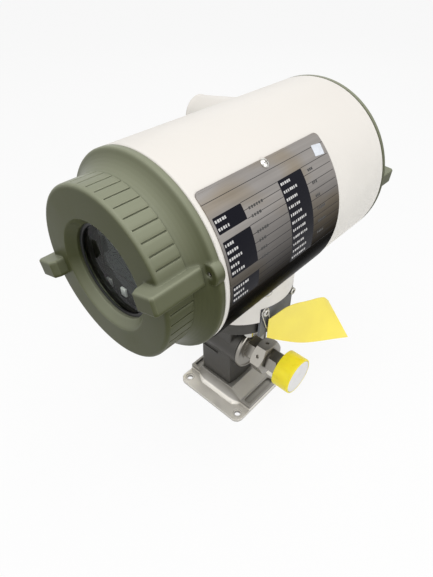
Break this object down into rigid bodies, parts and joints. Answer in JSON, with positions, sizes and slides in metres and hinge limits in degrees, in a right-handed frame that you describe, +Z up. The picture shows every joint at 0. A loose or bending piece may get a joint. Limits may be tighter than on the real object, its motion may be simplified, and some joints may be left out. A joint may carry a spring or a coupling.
{
  "type": "electromagnetic flow meter",
  "caption": "Integral electromagnetic flow meter: drum-shaped converter with windowed screw cover on a small union-joint sensor with a stand, capped ports and a hanging tag.",
  "frame": {"origin": "centre of the stand's underside, the middle of its four corner holes", "axes": "+Z up, +X along the flow axis towards the nameplate side, -Y out of the display window"},
  "size_m": [0.1813, 0.2666, 0.289],
  "materials": {
    "white_coating": "satin powder coat",
    "green_coating": "satin powder coat",
    "black_rubber": "smooth",
    "window_glass": "clear",
    "anodised_ring": "black anodised",
    "bezel_plastic": "fine matt",
    "key_plastic": "fine matt",
    "lcd_glass": "gloss",
    "circuit_board": "solder mask",
    "terminal_plastic": "moulded",
    "plated_steel": "zinc plated",
    "brass_pillar": "turned",
    "nameplate_steel": "brushed and printed",
    "machined_steel": "turned",
    "cast_steel": "bead-blasted casting",
    "stand_steel": "bead-blasted casting",
    "copper_winding": "varnished winding",
    "magnet_steel": "plain",
    "tube_ceramic": "ground",
    "gasket_fluoroplastic": "smooth",
    "yellow_cap": "moulded",
    "white_disc": "moulded",
    "yellow_tag": "laminated card"
  },
  "bodies": {
    "instrument": {"converter_housing": "white_coating", "nameplate": "nameplate_steel", "nameplate_screws": "plated_steel", "right_side_plate": "cast_steel", "left_side_plate": "cast_steel", "side_plate_screws": "plated_steel", "sensor_body": "cast_steel", "neck_bolts": "plated_steel", "neck_gasket": "black_rubber", "stand": "stand_steel", "stand_bolts": "plated_steel", "tag": "yellow_tag", "tag_tie": "plated_steel", "display_bezel": "bezel_plastic", "lcd_module": "lcd_glass", "display_board": "circuit_board", "control_board": "circuit_board", "power_board": "circuit_board", "board_pillars": "brass_pillar", "terminal_block": "terminal_plastic", "terminal_screws": "plated_steel", "earth_screw": "plated_steel", "measuring_tube": "tube_ceramic", "electrodes": "plated_steel", "magnet_yoke": "magnet_steel", "upper_coil": "copper_winding", "lower_coil": "copper_winding", "right_port_gasket": "gasket_fluoroplastic", "right_union_adapter": "machined_steel", "left_port_gasket": "gasket_fluoroplastic", "left_union_adapter": "machined_steel"},
    "display_cover_seal": {"display_cover_o_ring": "black_rubber"},
    "display_cover": {"display_cover": "green_coating", "display_cover_lock_screw": "plated_steel", "window_gasket": "black_rubber", "window_glass": "window_glass", "window_retainer": "anodised_ring"},
    "terminal_cover_seal": {"terminal_cover_o_ring": "black_rubber"},
    "terminal_cover": {"terminal_cover": "green_coating", "terminal_cover_lock_screw": "plated_steel"},
    "left_set_key": {"left_set_key": "key_plastic"},
    "middle_set_key": {"middle_set_key": "key_plastic"},
    "right_set_key": {"right_set_key": "key_plastic"},
    "right_union_tail": {"right_union_tail": "machined_steel"},
    "right_union_nut": {"right_union_nut": "machined_steel"},
    "right_protective_cap": {"right_protective_cap": "yellow_cap", "right_cap_disc": "white_disc"},
    "left_union_tail": {"left_union_tail": "machined_steel"},
    "left_union_nut": {"left_union_nut": "machined_steel"},
    "left_protective_cap": {"left_protective_cap": "yellow_cap", "left_cap_disc": "white_disc"}
  },
  "joints": [
    {"name": "display_cover_travel", "type": "slide", "parent": "instrument", "child": "display_cover_seal", "axis": [0, -1, 0], "range_m": [0, 0.012]},
    {"name": "display_cover_turn", "type": "hinge", "parent": "display_cover_seal", "child": "display_cover", "pos_m": [0, -0.1, 0.219], "axis": [0, -1, 0], "range_deg": [0, 2160]},
    {"name": "terminal_cover_travel", "type": "slide", "parent": "instrument", "child": "terminal_cover_seal", "axis": [0, 1, 0], "range_m": [0, 0.012]},
    {"name": "terminal_cover_turn", "type": "hinge", "parent": "terminal_cover_seal", "child": "terminal_cover", "pos_m": [0, 0.1, 0.219], "axis": [0, 1, 0], "range_deg": [0, 2160]},
    {"name": "right_union_travel", "type": "slide", "parent": "instrument", "child": "right_union_tail", "axis": [1, 0, 0], "range_m": [0, 0.0075]},
    {"name": "right_union_nut_turn", "type": "hinge", "parent": "right_union_tail", "child": "right_union_nut", "pos_m": [0.0378, 0, 0.067], "axis": [1, 0, 0], "range_deg": [0, 1800]},
    {"name": "right_cap_pull", "type": "slide", "parent": "right_union_tail", "child": "right_protective_cap", "axis": [1, 0, 0], "range_m": [0, 0.018]},
    {"name": "left_union_travel", "type": "slide", "parent": "instrument", "child": "left_union_tail", "axis": [-1, 0, 0], "range_m": [0, 0.0075]},
    {"name": "left_union_nut_turn", "type": "hinge", "parent": "left_union_tail", "child": "left_union_nut", "pos_m": [-0.0542, 0, 0.067], "axis": [-1, 0, 0], "range_deg": [0, 1800]},
    {"name": "left_cap_pull", "type": "slide", "parent": "left_union_tail", "child": "left_protective_cap", "axis": [-1, 0, 0], "range_m": [0, 0.018]},
    {"name": "left_set_key_press", "type": "slide", "parent": "instrument", "child": "left_set_key", "axis": [0, 1, 0], "range_m": [0, 0.0008], "stiffness_N_per_m": 300},
    {"name": "middle_set_key_press", "type": "slide", "parent": "instrument", "child": "middle_set_key", "axis": [0, 1, 0], "range_m": [0, 0.0008], "stiffness_N_per_m": 300},
    {"name": "right_set_key_press", "type": "slide", "parent": "instrument", "child": "right_set_key", "axis": [0, 1, 0], "range_m": [0, 0.0008], "stiffness_N_per_m": 300}
  ],
  "couplings": [
    {"joint": "display_cover_travel", "follows": "display_cover_turn", "m_per_rad": 0.00031831},
    {"joint": "terminal_cover_travel", "follows": "terminal_cover_turn", "m_per_rad": 0.00031831},
    {"joint": "right_union_travel", "follows": "right_union_nut_turn", "m_per_rad": 0.00023873},
    {"joint": "left_union_travel", "follows": "left_union_nut_turn", "m_per_rad": 0.00023873}
  ]
}
